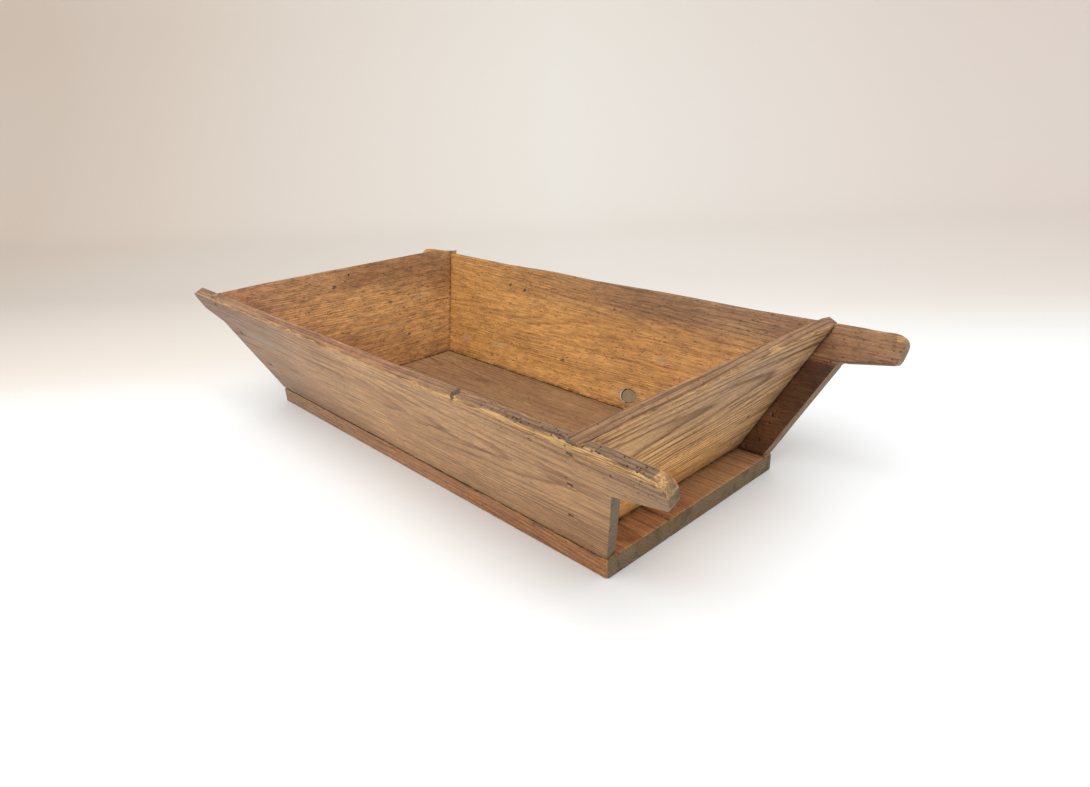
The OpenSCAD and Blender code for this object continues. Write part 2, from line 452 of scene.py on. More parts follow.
    def edge_wear(self, points, edge, wear):
        """The points near one edge and how far its rounding moves each of them."""
        a, b, f, g = edge
        nf, ng = self.faces[f]["normal"], self.faces[g]["normal"]
        start, along = self.corners[a], self.corners[b] - self.corners[a]
        length = np.linalg.norm(along)
        ids = np.array(sorted(self.members[f] | self.members[g]))
        p = points[ids] - start
        t = p @ along / length
        depth_f, depth_g = -(p @ nf), -(p @ ng)
        near = (t > -0.5 * MM) & (t < length + 0.5 * MM)
        near &= (np.minimum(depth_f, depth_g) > -0.3 * MM)
        near &= (np.maximum(depth_f, depth_g) < WEAR_LIMIT)
        ids, depth_f, depth_g = ids[near], depth_f[near].clip(0), depth_g[near].clip(0)
        on_edge = start + t[near, None] * along / length
        reach = [wear(Vector(q), self.kinds[f], self.kinds[g]) for q in on_edge]
        over_f, over_g = np.array(reach).reshape(-1, 2).T
        s, r = 1 - depth_g / over_f, 1 - depth_f / over_g
        hit = (s > 0) & (r > 0)
        grow = np.maximum(np.hypot(s, r), 1.0)
        new_g, new_f = over_f * (1 - s / grow), over_g * (1 - r / grow)
        move_f, move_g = (new_f - depth_f) * hit, (new_g - depth_g) * hit
        c = nf @ ng
        first = -(move_f - c * move_g) / (1 - c * c)
        second = -(move_g - c * move_f) / (1 - c * c)
        return ids, first[:, None] * nf + second[:, None] * ng

    def wear_edges(self, wear):
        """Rounds every arris. wear gives the reach of the rounding over each of its two faces."""
        points = np.array(self.points)
        total = np.zeros_like(points)
        for cluster in self.rounded_clusters():
            best = np.zeros_like(points)
            size = np.zeros(len(points))
            for edge in cluster:
                ids, shift = self.edge_wear(points, edge, wear)
                amount = np.linalg.norm(shift, axis=1)
                bigger = amount > size[ids]
                best[ids[bigger]] = shift[bigger]
                size[ids[bigger]] = amount[bigger]
            total += best
        self.moved = np.linalg.norm(total, axis=1)
        self.worn = points + total

    def smooth_worn(self):
        """Evens out the worn arrises where several runs meet."""
        triangles = np.array(self.triangles)
        pairs = np.concatenate([triangles[:, [0, 1]], triangles[:, [1, 2]], triangles[:, [2, 0]]])
        soft = self.moved > 0.05 * MM
        for i in self.sunk:
            soft[i] = False
        for _ in range(SMOOTHING):
            total = np.zeros_like(self.worn)
            count = np.zeros(len(self.worn))
            np.add.at(total, pairs[:, 0], self.worn[pairs[:, 1]])
            np.add.at(count, pairs[:, 0], 1)
            average = total / count.clip(1)[:, None]
            self.worn[soft] += 0.35 * (average[soft] - self.worn[soft])

    def scatter_pits(self, clusters, seed):
        """Beetle holes for each face, from boxes given as kind, axis range, height range and count."""
        pick = random.Random(seed)
        made = {}
        for kind, low, high, bottom, top, count in clusters:
            for index, face in enumerate(self.faces):
                if self.kinds[index] != kind or face["area"] < 20e-4:
                    continue
                u, v = face_axes(face["normal"], self.grain)
                rim = np.array([self.corners[i] for key in self.rim_keys(index) for i in key])
                (u0, v0), (u1, v1) = [(f(rim @ u), f(rim @ v)) for f in (np.min, np.max)]
                height = face["middle"] @ face["normal"]
                left = count
                for _ in range(count * 60):
                    a, b = pick.uniform(u0, u1), pick.uniform(v0, v1)
                    p = u * a + v * b + face["normal"] * height
                    if left and low < p[self.axis] < high and bottom < p[2] < top:
                        size = pick.uniform(0.75, 1.2) * MM
                        made.setdefault(index, []).append((a, b, size, pick.uniform(2.0, 3.5) * MM))
                        left -= 1
        return made

    def lower_top(self, drops, band):
        """Lets the top edge of the board sag below its drawn line, by drops along the board."""
        height = self.worn @ self.up
        weight = ((height - (height.max() - band)) / band).clip(0, 1)
        where, drop = zip(*drops)
        sag = np.interp(self.worn[:, self.axis], where, drop) * weight
        self.worn -= self.up * sag[:, None]

    def warp(self):
        """Lets the board wander a little from flat, as dried wood does."""
        for i, p in enumerate(self.worn):
            wave = 0.35 * noise.noise(Vector(p) * 9.0) + 0.15 * noise.noise(Vector(p) * 30.0)
            self.worn[i] -= self.outward * (0.45 + wave) * MM

    def write_layers(self, mesh, tones, shade, bare, grime_and_shade):
        """Stores what the wood shader reads: place in the board, base tone and the masks of wear, dirt
        and painted shade.
        """
        place = np.column_stack([self.worn @ axis for axis in (self.grain, self.up, self.outward)])
        place -= (place.min(0) + place.max(0)) / 2
        tone = np.zeros((len(self.worn), 4))
        end = np.zeros(len(self.worn))
        dirt = np.zeros(len(self.worn))
        count = np.zeros(len(self.worn))
        for index, ids in enumerate(self.members):
            ids = np.array(sorted(ids))
            kind = self.kinds[index]
            where = [row[0] for row in tones[kind]]
            colours = [srgb(*row[1:]) for row in tones[kind]]
            channels = [np.interp(self.worn[ids, self.axis], where, c) for c in zip(*colours)]
            tone[ids, :3] += np.column_stack(channels) * shade(self.worn[ids], kind)
            end[ids] += kind == "end"
            dirt[ids] += grime_and_shade(self.worn[ids], self.faces[index]["normal"])
            count[ids] += 1
        count = count.clip(1)
        tone /= count[:, None]
        tone[:, 3] = 1
        pitted = np.zeros(len(self.worn))
        pitted[list(self.sunk)] = 1
        arris = (self.moved / (1.3 * MM)).clip(0, 1) * bare(self.worn)
        masks = np.column_stack([arris, dirt / count, end / count, pitted])
        for name, values in (("tone", tone), ("masks", masks)):
            layer = mesh.attributes.new(name, "FLOAT_COLOR", "POINT")
            layer.data.foreach_set("color", values.astype(np.float32).ravel())
        layer = mesh.attributes.new("grain", "FLOAT_VECTOR", "POINT")
        layer.data.foreach_set("vector", place.astype(np.float32).ravel())

    def build(self, spec, material, grime_and_shade, seed):
        holes = self.scatter_pits(spec["pits"], seed)
        for index in range(len(self.faces)):
            self.fill_face(index, holes.get(index, ()))
        self.wear_edges(spec["wear"])
        self.smooth_worn()
        if spec["drops"]:
            self.lower_top(spec["drops"], 40 * MM)
        if abs(self.outward[2]) < 0.9:
            self.warp()
        for i, (normal, depth) in self.sunk.items():
            self.worn[i] -= normal * depth
        mesh = bpy.data.meshes.new(self.node + "_wood")
        mesh.from_pydata(self.worn.tolist(), [], self.triangles)
        mesh.shade_smooth()
        self.write_layers(mesh, spec["tones"], spec["shade"], spec["bare"], grime_and_shade)
        mesh.materials.append(material)
        board = make_object(self.node + "_wood", mesh)
        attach(board, "root")
        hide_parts(self.node)
        return board


# ---------------- wood and iron

WORN_OCHRE = (0.57, 0.345, 0.145, 1)
LINE_GREY = (0.28, 0.235, 0.165, 1)
STAIN_BLACK = (0.05, 0.035, 0.025, 1)
KNOT_BLACK = (0.045, 0.026, 0.018, 1)
GRIME_AND_SHADE_BLACK = (0.030, 0.024, 0.016, 1)
PIT_BLACK = (0.006, 0.005, 0.004, 1)
END_DARK = (0.10, 0.073, 0.048, 1)
END_PALE = (0.30, 0.235, 0.165, 1)
END_BROWN = (0.215, 0.125, 0.060, 1)
LATE_TINT = (0.38, 0.26, 0.20)


class Nodes:
    """Short names for the shader nodes of one material."""

    def __init__(self, name):
        self.material = bpy.data.materials.new(name)
        self.material.use_nodes = True
        self.tree = self.material.node_tree
        self.shader = self.tree.nodes["Principled BSDF"]

    def put(self, socket, value):
        if isinstance(value, bpy.types.NodeSocket):
            self.tree.links.new(value, socket)
        else:
            socket.default_value = value

    def use(self, name, value):
        """Gives the material's shader one of its inputs."""
        self.put(self.shader.inputs[name], value)

    def add(self, kind, inputs=None, **settings):
        node = self.tree.nodes.new("ShaderNode" + kind)
        for key, value in settings.items():
            setattr(node, key, value)
        for key, value in (inputs or {}).items():
            self.put(node.inputs[key], value)
        return node

    def math(self, operation, a, b=0.0, c=0.0):
        return self.add("Math", {0: a, 1: b, 2: c}, operation=operation).outputs[0]

    def times(self, a, b):
        return self.math("MULTIPLY", a, b)

    def vector(self, operation, a, b=(0.0, 0.0, 0.0)):
        return self.add("VectorMath", {0: a, 1: b}, operation=operation).outputs[0]

    def mix(self, factor, a, b, blend="MIX"):
        return self.add("Mix", {0: factor, 6: a, 7: b}, data_type="RGBA", blend_type=blend).outputs[2]

    def noise(self, place, stretch, detail=3.0, roughness=0.55, shift=(0.0, 0.0, 0.0)):
        vector = self.vector("MULTIPLY_ADD", place, stretch)
        vector.node.inputs[2].default_value = shift
        inputs = {"Vector": vector, "Scale": 1.0, "Detail": detail, "Roughness": roughness}
        return self.add("TexNoise", inputs).outputs

    def remap(self, value, low, high, to_low=0.0, to_high=1.0):
        inputs = {"Value": value, "From Min": low, "From Max": high, "To Min": to_low, "To Max": to_high}
        return self.add("MapRange", inputs, interpolation_type="SMOOTHSTEP").outputs[0]

    def curve(self, value, stops):
        ramp = self.add("ValToRGB", {0: value})
        elements = ramp.color_ramp.elements
        while len(elements) < len(stops):
            elements.new(0.5)
        for element, (place, grey) in zip(elements, stops):
            element.position = place
            element.color = (grey, grey, grey, 1)
        return ramp.outputs[0]


def srgb(*channels):
    """Linear colour of 8-bit sRGB channels."""
    return tuple(((c / 255 + 0.055) / 1.055) ** 2.4 if c > 10 else c / 255 / 12.92 for c in channels)


class Wood(Nodes):
    """Old softwood, drawn from a place in the board, a base tone and the masks of wear, dirt and painted
    shade.
    """

    def __init__(self, spec, seed):
        super().__init__(spec["slot"])
        self.spec = spec
        self.shift = (seed * 1.7, seed * 3.1, seed * 5.3)
        self.place = self.add("Attribute", attribute_name="grain").outputs["Vector"]
        self.tone = self.add("Attribute", attribute_name="tone").outputs["Color"]
        masks = self.add("Attribute", attribute_name="masks")
        split = self.add("SeparateColor", {0: masks.outputs["Color"]}).outputs
        # The second mask is grime at the joints together with painted shade on the knot and its hole.
        self.arris, self.dirt, self.end, self.pit = split[0], split[1], split[2], masks.outputs["Alpha"]
        self.axes = self.add("SeparateXYZ", {0: self.place}).outputs
        self.ragged = self.math("SUBTRACT", self.grain_noise(120, 260, 3.0, 0.6), 0.5)
        self.knots = self.marks("knot")
        self.rings()
        self.colour()
        self.surface()

    def grain_noise(self, along, across, detail=3.0, roughness=0.55, output="Fac"):
        return self.noise(self.place, (along, across, across), detail, roughness, self.shift)[output]

    def darken(self, colour, factor, tint):
        return self.mix(factor, colour, self.mix(1.0, colour, (*tint, 1), "MULTIPLY"))

    def scaled(self, colour, factor):
        scaled = self.vector("SCALE", colour)
        self.put(scaled.node.inputs["Scale"], factor)
        return scaled

    def marks(self, kind, spread=1.0):
        """Where the board's marks of one kind are: 1 inside them, with ragged edges."""
        total = self.math("ADD", 0.0, 0.0)
        places = MARKS.get(self.spec["node"], {})
        wanted = [(side, *row) for side in (1, -1, 0) for row in places.get((kind, side), [])]
        for side, along, across, half_along, half_across in wanted:
            away = self.vector("SUBTRACT", self.place, (along * MM, across * MM, 0.0))
            size = (1 / (half_along * MM * spread), 1 / (half_across * MM * spread), 0.0)
            away = self.add("VectorMath", {0: self.vector("MULTIPLY", away, size)}, operation="LENGTH")
            edge = self.math("MULTIPLY_ADD", self.ragged, 3.0 / spread, away.outputs["Value"])
            spot = self.remap(edge, 1.15, 0.75)
            if side:
                here = self.math("GREATER_THAN", self.times(self.axes[2], side), 0.0)
                spot = self.times(spot, here)
            total = self.math("MAXIMUM", total, spot)
        return total

    def rings(self):
        """Dark latewood lines: distance from the tree's middle, bent along the board."""
        spec = self.spec
        spacing = spec["spacing"]
        bend = self.vector("SUBTRACT", self.grain_noise(1.6, 7.0, 2.0, 0.5, "Color"), (0.5, 0.5, 0.5))
        bend = self.vector("MULTIPLY", bend, (0.0, 0.024, 0.024))
        centred = self.vector("SUBTRACT", self.place, (0.0, *spec["pith"]))
        flat = self.vector("MULTIPLY", self.vector("ADD", centred, bend), (0.0, 1.0, 1.0))
        distance = self.add("VectorMath", {0: flat}, operation="LENGTH").outputs["Value"]
        distance = self.math("MULTIPLY_ADD", self.axes[0], 0.02, distance)
        distance = self.math("MULTIPLY_ADD", self.grain_noise(7, 60, 2.0, 0.5), spacing * 0.9, distance)
        distance = self.math("MULTIPLY_ADD", self.marks("knot", 3.0), 5 * MM, distance)
        ring = self.math("FRACT", self.math("DIVIDE", distance, spacing))
        late = self.curve(ring, [(0.0, 0.45), (0.05, 0.0), (0.55, 0.06), (0.88, 1.0), (1.0, 0.45)])
        strength = self.remap(self.grain_noise(4, 40, 3.0), 0.35, 0.6, spec["steady"], 1.0)
        self.late = self.times(late, strength)
        self.fibre = self.grain_noise(26, 900, 4.0, 0.65)
        self.streak = self.grain_noise(4.5, 210, 3.0, 0.6)

    def colour(self):
        """The base colour: old surface, end grain, rubbed wood, marks, grime with painted shade, and
        beetle holes.
        """
        self.grit = self.grain_noise(420, 700, 2.0, 0.6)
        self.fine = self.grain_noise(60, 150, 5.0, 0.7)
        colour = self.mix(self.end, self.old_surface(), self.end_grain())
        colour = self.rubbed(colour)
        colour = self.mix(self.times(self.marks("grey"), 0.4), colour, LINE_GREY)
        colour = self.mix(self.times(self.marks("dark"), 0.8), colour, STAIN_BLACK)
        colour = self.mix(self.times(self.knots, 0.8), colour, KNOT_BLACK)
        crumbs = self.remap(self.grain_noise(60, 110, 4.0, 0.7), 0.38, 0.56)
        # Grime at the joints, and painted shade at the knot and its hole
        colour = self.mix(self.times(self.dirt, crumbs), colour, GRIME_AND_SHADE_BLACK)
        colour = self.mix(self.pit, colour, PIT_BLACK)
        self.use("Base Color", colour)

    def old_surface(self):
        """Wood along the grain, with latewood lines, dark streaks, stains and flecks."""
        spec = self.spec
        stain = self.grain_noise(4.0, 9.0, 3.0, 0.5)
        specks = self.grain_noise(150, 520, 2.0, 0.5)
        patches = 0.2 * spec["mottle"]
        colour = self.darken(self.tone, self.times(self.late, spec["ring"]), LATE_TINT)
        dark = self.times(self.remap(self.streak, 0.50, 0.34), spec["streaks"])
        colour = self.darken(colour, dark, (0.50, 0.40, 0.36))
        colour = self.scaled(colour, self.remap(self.fibre, 0.32, 0.68, 0.76, 1.22))
        colour = self.scaled(colour, self.remap(self.fine, 0.30, 0.70, 1 - patches, 1 + patches))
        brown = self.times(self.remap(stain, 0.55, 0.35), 0.55 * spec["mottle"])
        colour = self.darken(colour, brown, (0.66, 0.58, 0.56))
        flecks = self.times(self.remap(specks, 0.60, 0.68), spec["flecks"])
        return self.darken(colour, flecks, (0.36, 0.28, 0.25))

    def end_grain(self):
        """Grey, dusty end grain, half tinted by the board's own tone."""
        brown = self.remap(self.grain_noise(40, 40, 3.0, 0.6), 0.42, 0.60, 0.0, 0.6)
        holes = self.remap(self.grain_noise(60, 60, 4.0, 0.6), 0.50, 0.36)
        ends = self.mix(self.remap(self.grit, 0.35, 0.65), END_DARK, END_PALE)
        ends = self.mix(brown, ends, END_BROWN)
        ends = self.darken(ends, self.times(self.late, 0.7), (0.45, 0.38, 0.32))
        ends = self.darken(ends, holes, (0.50, 0.44, 0.40))
        return self.mix(0.5, ends, self.tone)

    def rubbed(self, colour):
        """Pale ochre wood where an arris is worn through the old surface."""
        worn = self.spec["worn"]
        patch = self.math("SUBTRACT", self.grain_noise(22, 90, 3.0, 0.6), 0.5)
        uneven = self.math("MULTIPLY_ADD", patch, 2.4, self.arris)
        rub = self.remap(uneven, 0.75 - worn, 1.0 - worn)
        rub = self.times(rub, self.remap(self.arris, 0.02, 0.20))
        rub = self.math("MAXIMUM", rub, self.marks("pale"))
        pale = self.darken(WORN_OCHRE, self.remap(self.fibre, 0.60, 0.38), (0.40, 0.30, 0.24))
        self.rub = self.times(rub, self.remap(self.end, 0.3, 0.9, 0.85, 0.25))
        return self.mix(self.rub, colour, pale)

    def surface(self):
        """Roughness and the height of the grain; grime and painted shade don't shine."""
        rough = self.remap(self.fine, 0.3, 0.7, 0.50, 0.68)
        bare = self.times(self.math("MAXIMUM", self.end, self.rub), 0.85)
        self.use("Roughness", self.math("MAXIMUM", rough, bare))
        self.use("IOR", 1.40)
        self.use("Specular IOR Level", self.remap(self.dirt, 0.2, 0.8, 0.5, 0.0))
        height = self.math("MULTIPLY_ADD", self.late, 0.35, self.times(self.fibre, 0.6))
        height = self.math("MULTIPLY_ADD", self.streak, 0.9, height)
        height = self.math("MULTIPLY_ADD", self.times(self.grit, self.end), 0.9, height)
        hollow = self.times(self.times(self.rub, self.streak), 0.8)
        height = self.math("SUBTRACT", height, hollow)
        height = self.math("SUBTRACT", height, self.marks("dark"))
        bump = self.add("Bump", {"Height": height, "Strength": 0.9, "Distance": 0.0007})
        self.use("Normal", bump.outputs[0])


def iron():
    """Dark forged iron with rust."""
    n = Nodes("forged_iron")
    place = n.add("TexCoord").outputs["Object"]
    rust = n.noise(place, (500.0, 500.0, 500.0), 4.0, 0.65)["Fac"]
    fleck = n.noise(place, (1500.0, 1500.0, 1500.0), 2.0, 0.6)["Fac"]
    colour = n.mix(n.remap(rust, 0.40, 0.62), (0.045, 0.032, 0.025, 1), (0.15, 0.075, 0.040, 1))
    colour = n.mix(n.remap(fleck, 0.5, 0.7), colour, n.mix(1.0, colour, (0.6, 0.6, 0.6, 1), "MULTIPLY"))
    n.use("Base Color", colour)
    n.use("Roughness", n.remap(rust, 0.3, 0.7, 0.55, 0.85))
    n.use("Metallic", n.remap(rust, 0.55, 0.35, 0.0, 0.6))
    bump = n.add("Bump", {"Height": n.math("ADD", rust, fleck), "Strength": 0.7, "Distance": 0.0004})
    n.use("Normal", bump.outputs[0])
    return n.material


# ---------------- the trough's own wear and colours

FRONT_OUT = np.array([0.0, -0.9026, -0.4305])
REAR_OUT = np.array([0.0, 0.9026, -0.4305])
LEFT_OUT = np.array([-0.9063, 0.0, -0.4226])
RIGHT_OUT = np.array([0.9063, 0.0, -0.4226])
FLOOR_TOP = 24 * MM
SEAM_Y = -60 * MM
MIDDLE_X = 0.007
TIP_START = 0.470
TIP_LENGTH = 0.018
KNOT_X = 0.131
# Middle and reach of the painted shade on the walls of the knot's hole
HOLE_SHADE_X, HOLE_SHADE_Z, HOLE_SHADE_REACH = 0.1345, 0.044, 0.022
SINK = 4 * MM
CAP_DEPTH = 3 * MM
LOST = 0.30
SWOLLEN = 0.035
FRAY = Vector((26.0, 80.0, 80.0))


def fray(p, stretch=FRAY, shift=0.0):
    """A smooth random number near zero at a place, drawn out along the boards."""
    return noise.noise(Vector(a * b for a, b in zip(p, stretch)) + Vector((shift, shift, shift)))


def pair(first, kind, on_kind, on_other):
    """The reach of a rounding as two numbers in the order of the two faces."""
    return (on_kind, on_other) if first == kind else (on_other, on_kind)


def near_tip(p):
    """0 along the board, 1 at the ends of its horns."""
    return max(0.0, min(1.0, (abs(p.x - MIDDLE_X) - TIP_START) / TIP_LENGTH))


def both(size):
    """The same reach over both faces, from a size in mm."""
    return (size * MM, size * MM)


def chip(p, stretch, shift, floor):
    """Now and then a larger bite out of an arris."""
    return max(0.0, fray(p, stretch, shift) - floor)


def toward(size, other, share):
    """From one size to the other, by a share of the way."""
    return size + (other - size) * share


# How far the rounding reaches over the two faces at an arris, for a place on it and their kinds.


def front_wear(p, kf, kg):
    kinds = {kf, kg}
    tip = near_tip(p)
    eaten = max(0.0, min(1.0, (p.x - 0.27) / 0.05))
    if kinds == {"outer", "top"}:
        size = 4.2 + 1.6 * fray(p) + 5.5 * chip(p, FRAY * 2.2, 5.0, 0.15)
        on_top = toward(size + 3.5 * eaten + 1.5 * eaten * fray(p, FRAY * 3, 7.0), 2.6, tip)
        return pair(kf, "outer", toward(size * 1.1 + eaten, 2.6, tip) * MM, on_top * MM)
    if kinds == {"inner", "top"}:
        size = 2.4 + 0.9 * fray(p, shift=9.0) + 3.5 * chip(p, FRAY * 2.0, 2.0, 0.15)
        return both(toward(size, 2.0, tip))
    if tip > 0 or "end" not in kinds:
        size = 1.6 + 0.5 * fray(p) if p.z > 0.1 else 1.2 + 1.6 * max(0.0, fray(p))
        return both(toward(size, 2.0, tip))
    return both(1.1 + 0.5 * fray(p, FRAY * 3)) if p.z > 0.05 else both(0.5)


def rear_wear(p, kf, kg):
    kinds = {kf, kg}
    tip = near_tip(p)
    if abs(p.x - KNOT_X) < 16 * MM and p.z < 65 * MM:
        return both(0.4)
    if kinds == {"inner", "top"}:
        size = 4.0 + 1.2 * fray(p) + 3.5 * chip(p, FRAY * 2.0, 4.0, 0.2)
        return both(toward(size, 2.0, tip))
    if kinds == {"outer", "top"}:
        return both(toward(3.0 + fray(p, shift=3.0), 2.0, tip))
    if tip > 0 or "end" not in kinds:
        size = 2.2 + 0.6 * fray(p) if p.z > 0.1 else 0.8
        return both(toward(size, 2.0, tip))
    return both(1.4 + 0.6 * fray(p, FRAY * 3)) if p.z > 0.05 else both(0.5)


def end_wear(p, kf, kg):
    kinds = {kf, kg}
    stretch = FRAY.yxz
    if kinds == {"outer", "top"}:
        size = 3.2 + 1.3 * fray(p, stretch) + 5.5 * chip(p, stretch * 2.0, 6.0, 0.12)
        return (size * MM, size * 0.9 * MM)
    if kinds == {"inner", "top"}:
        size = 2.2 + 0.8 * fray(p, stretch, 7.0) + 3.0 * chip(p, stretch * 2.0, 3.0, 0.2)
        return both(size)
    return both(0.8) if p.z > 0.1 else both(0.4)


def plank_wear(p, kf, kg):
    kinds = {kf, kg}
    if abs(p.y - SEAM_Y) < 2 * MM:
        return both(0.6)
    if kinds == {"end", "foot"}:
        return both(4.0)
    if "inner" in kinds:
        size = 2.8 + 1.2 * fray(p) + 4.0 * chip(p, FRAY * 2.0, 8.0, 0.2)
        return both(size)
    return both(1.6)


def knot_wear(p, kf, kg):
    return both(0.5)


JOINT_PLANES = {}


def note_planes(name, board):
    """Remembers a board's two broad faces, for the dirt that gathers where others meet them."""
    planes = []
    for kind in ("inner", "outer"):
        face = max((f for f, k in zip(board.faces, board.kinds) if k == kind), key=lambda f: f["area"])
        planes.append((face["normal"], face["normal"] @ face["middle"]))
    JOINT_PLANES[name] = planes


def dirt_near(points, planes, width):
    dirt = np.zeros(len(points))
    for normal, offset in planes:
        dirt = np.maximum(dirt, np.exp(-np.abs(points @ normal - offset) / width))
    return dirt


def in_knot_hole(points):
    """True on the board close to the loose knot, whose hole's walls are painted dark as shade."""
    return np.hypot(points[:, 0] - HOLE_SHADE_X, points[:, 2] - HOLE_SHADE_Z) < HOLE_SHADE_REACH


def grime_and_shade_for(name, board):
    floor = (np.array([0.0, 0.0, 1.0]), FLOOR_TOP)
    across = [n for n in JOINT_PLANES if n.split("_")[-2:] != name.split("_")[-2:]]

    def grime_and_shade(points, normal):
        if name.startswith("bottom"):
            others = [p for n in JOINT_PLANES if not n.startswith("bottom") for p in JOINT_PLANES[n]]
            seam = [(np.array([0.0, 1.0, 0.0]), SEAM_Y)]
            return dirt_near(points, others + seam, 2.2 * MM) * (normal[2] > 0.5)
        dirt = dirt_near(points, [floor], 3.4 * MM)
        if normal @ board.outward < -0.8:
            joints = [p for n in across if not n.startswith("bottom") for p in JOINT_PLANES[n]]
            dirt = np.maximum(dirt, dirt_near(points, joints, 2.0 * MM))
        # Painted shade: the walls of the knot's hole get the full dark mask.
        if name.startswith("rear") and abs(normal @ board.outward) < 0.5:
            dirt = np.maximum(dirt, in_knot_hole(points))
        return dirt

    return grime_and_shade


def fade(values, low, high):
    """0 below low, 1 above high and a smooth rise between them."""
    t = ((values - low) / (high - low)).clip(0, 1)
    return t * t * (3 - 2 * t)


def tinted(weight, tint):
    return 1 + weight[:, None] * (np.array(tint) - 1)


def no_shade(points, kind):
    return np.ones((len(points), 3))


def all_bare(points):
    return np.ones(len(points))


def no_bare(points):
    return np.zeros(len(points))


def front_bare(points):
    return 0.75 + 0.25 * fade(points[:, 0], 0.0, 0.3)


def left_bare(points):
    return np.full(len(points), 0.35)


def rear_bare(points):
    return 0.15 + 0.85 * fade(points[:, 0], 0.30, 0.48)


def front_shade(points, kind):
    x, z = points[:, 0], points[:, 2]
    if kind == "outer":
        mauve = fade(z, 0.10, 0.17) * (1 - fade(x, -0.25, 0.05))
        low = fade(x, 0.2, 0.4) * (1 - fade(z, 0.04, 0.10))
        return tinted(mauve, (0.86, 0.84, 0.93)) * tinted(low, (0.86, 0.84, 0.82))
    if kind == "top":
        ridges = np.sin((points @ FRONT_OUT) / (1.15 * MM)).clip(0, 1) * (1 - fade(x, 0.10, 0.30))
        return tinted(ridges, (0.70, 0.60, 0.56))
    return no_shade(points, kind)


def rear_shade(points, kind):
    x, z = points[:, 0], points[:, 2]
    if kind == "inner":
        top = fade(z, 0.13, 0.175) * fade(x, -0.35, 0.15) * (1 - fade(x, 0.37, 0.42))
        # Painted shadow: darker on the inner face beyond the right end board, under the horn.
        painted_shadow = fade(x - 0.42 * z, 0.300, 0.315) * (1 - fade(z, 0.145, 0.158))
        return tinted(top, (0.52, 0.55, 0.82)) * tinted(painted_shadow, (0.30, 0.26, 0.26))
    if kind == "outer":
        return no_shade(points, kind)
    # Painted shade: the walls of the knot's hole are made near black.
    hole_shade = in_knot_hole(points)
    grey = 1 - fade(x, -0.44, -0.42)
    return tinted(hole_shade, (0.10, 0.09, 0.08)) * tinted(grey, (0.62, 0.60, 0.62))


def left_shade(points, kind):
    if kind == "inner":
        return tinted(fade(points[:, 2], 0.13, 0.18), (0.84, 0.86, 0.98))
    return no_shade(points, kind)


def right_shade(points, kind):
    y, z = points[:, 1], points[:, 2]
    if kind == "outer":
        stain = fade(z, 0.11, 0.16) * (1 - fade(y, 0.05, 0.20))
        glow = (1 - fade(z, 0.06, 0.12)) * (1 - fade(y, 0.0, 0.2))
        return tinted(stain, (0.72, 0.75, 0.90)) * tinted(glow, (1.10, 1.02, 0.90))
    return no_shade(points, kind)


def plank_shade(points, kind):
    x, y = points[:, 0], points[:, 1]
    if kind == "inner":
        ledge = fade(x, 0.31, 0.345)
        red = ledge * (1 - fade(y, -0.07, -0.04))
        grey = ledge * fade(y, -0.05, 0.05)
        return tinted(red, (0.98, 0.98, 0.95)) * tinted(grey, (1.10, 1.25, 1.35))
    return no_shade(points, kind)


# Base tones by face: place along the board in metres, then 8-bit red, green and blue.


def even(*colour):
    return [(0.0, *colour)]


OUTER_BROWN = (176, 138, 103)
INNER_AMBER = (186, 132, 80)
FLOOR_BROWN = (151, 113, 75)
END_GREY = (120, 98, 72)
DARK_TOP = (140, 105, 78)

FRONT_TONES = {
    "outer": [(-0.45, 151, 122, 99), (0.0, 192, 150, 105), (0.42, 172, 130, 87),
              (0.50, 143, 112, 82)],
    "inner": [(-0.46, 112, 90, 72), (-0.42, *INNER_AMBER)],
    "top": [(-0.45, 158, 124, 95), (0.0, 160, 115, 80), (0.4, 124, 98, 74)],
    "end": even(104, 88, 66),
    "foot": even(120, 90, 65),
}
REAR_TONES = {
    "inner": [(-0.40, 189, 137, 74), (0.0, 200, 146, 81), (0.30, 207, 155, 92),
              (0.38, 190, 135, 82), (0.42, 151, 110, 77), (0.50, 148, 110, 78)],
    "outer": even(*OUTER_BROWN),
    "top": even(*DARK_TOP),
    "end": even(140, 115, 90),
    "foot": even(120, 90, 65),
}
LEFT_TONES = {
    "inner": [(-0.20, 186, 134, 87), (0.0, 192, 141, 84), (0.2, 189, 140, 84)],
    "outer": even(*OUTER_BROWN),
    "top": even(153, 118, 91),
    "end": even(*END_GREY),
    "foot": even(*FLOOR_BROWN),
}
RIGHT_TONES = {
    "inner": even(*INNER_AMBER),
    "outer": [(-0.2, 235, 181, 108), (0.2, 182, 148, 108)],
    "top": even(150, 114, 81),
    "end": even(*END_GREY),
    "foot": even(*FLOOR_BROWN),
}
PLANK_TONES = {
    "inner": [(-0.35, *FLOOR_BROWN), (0.3, *FLOOR_BROWN), (0.36, 178, 130, 89)],
    "outer": even(150, 120, 90),
    "foot": [(-0.38, 158, 124, 94), (0.0, 170, 122, 84), (0.38, 162, 110, 68)],
    "top": even(*FLOOR_BROWN),
    "end": even(108, 86, 56),
}
# The knot's sides, which sit in its hole, are painted dark as shade; its caps keep the knot's own colour.
KNOT_TONES = {kind: even(72, 60, 46) for kind in ("inner", "outer", "top", "foot")}
KNOT_TONES["end"] = even(176, 150, 112)

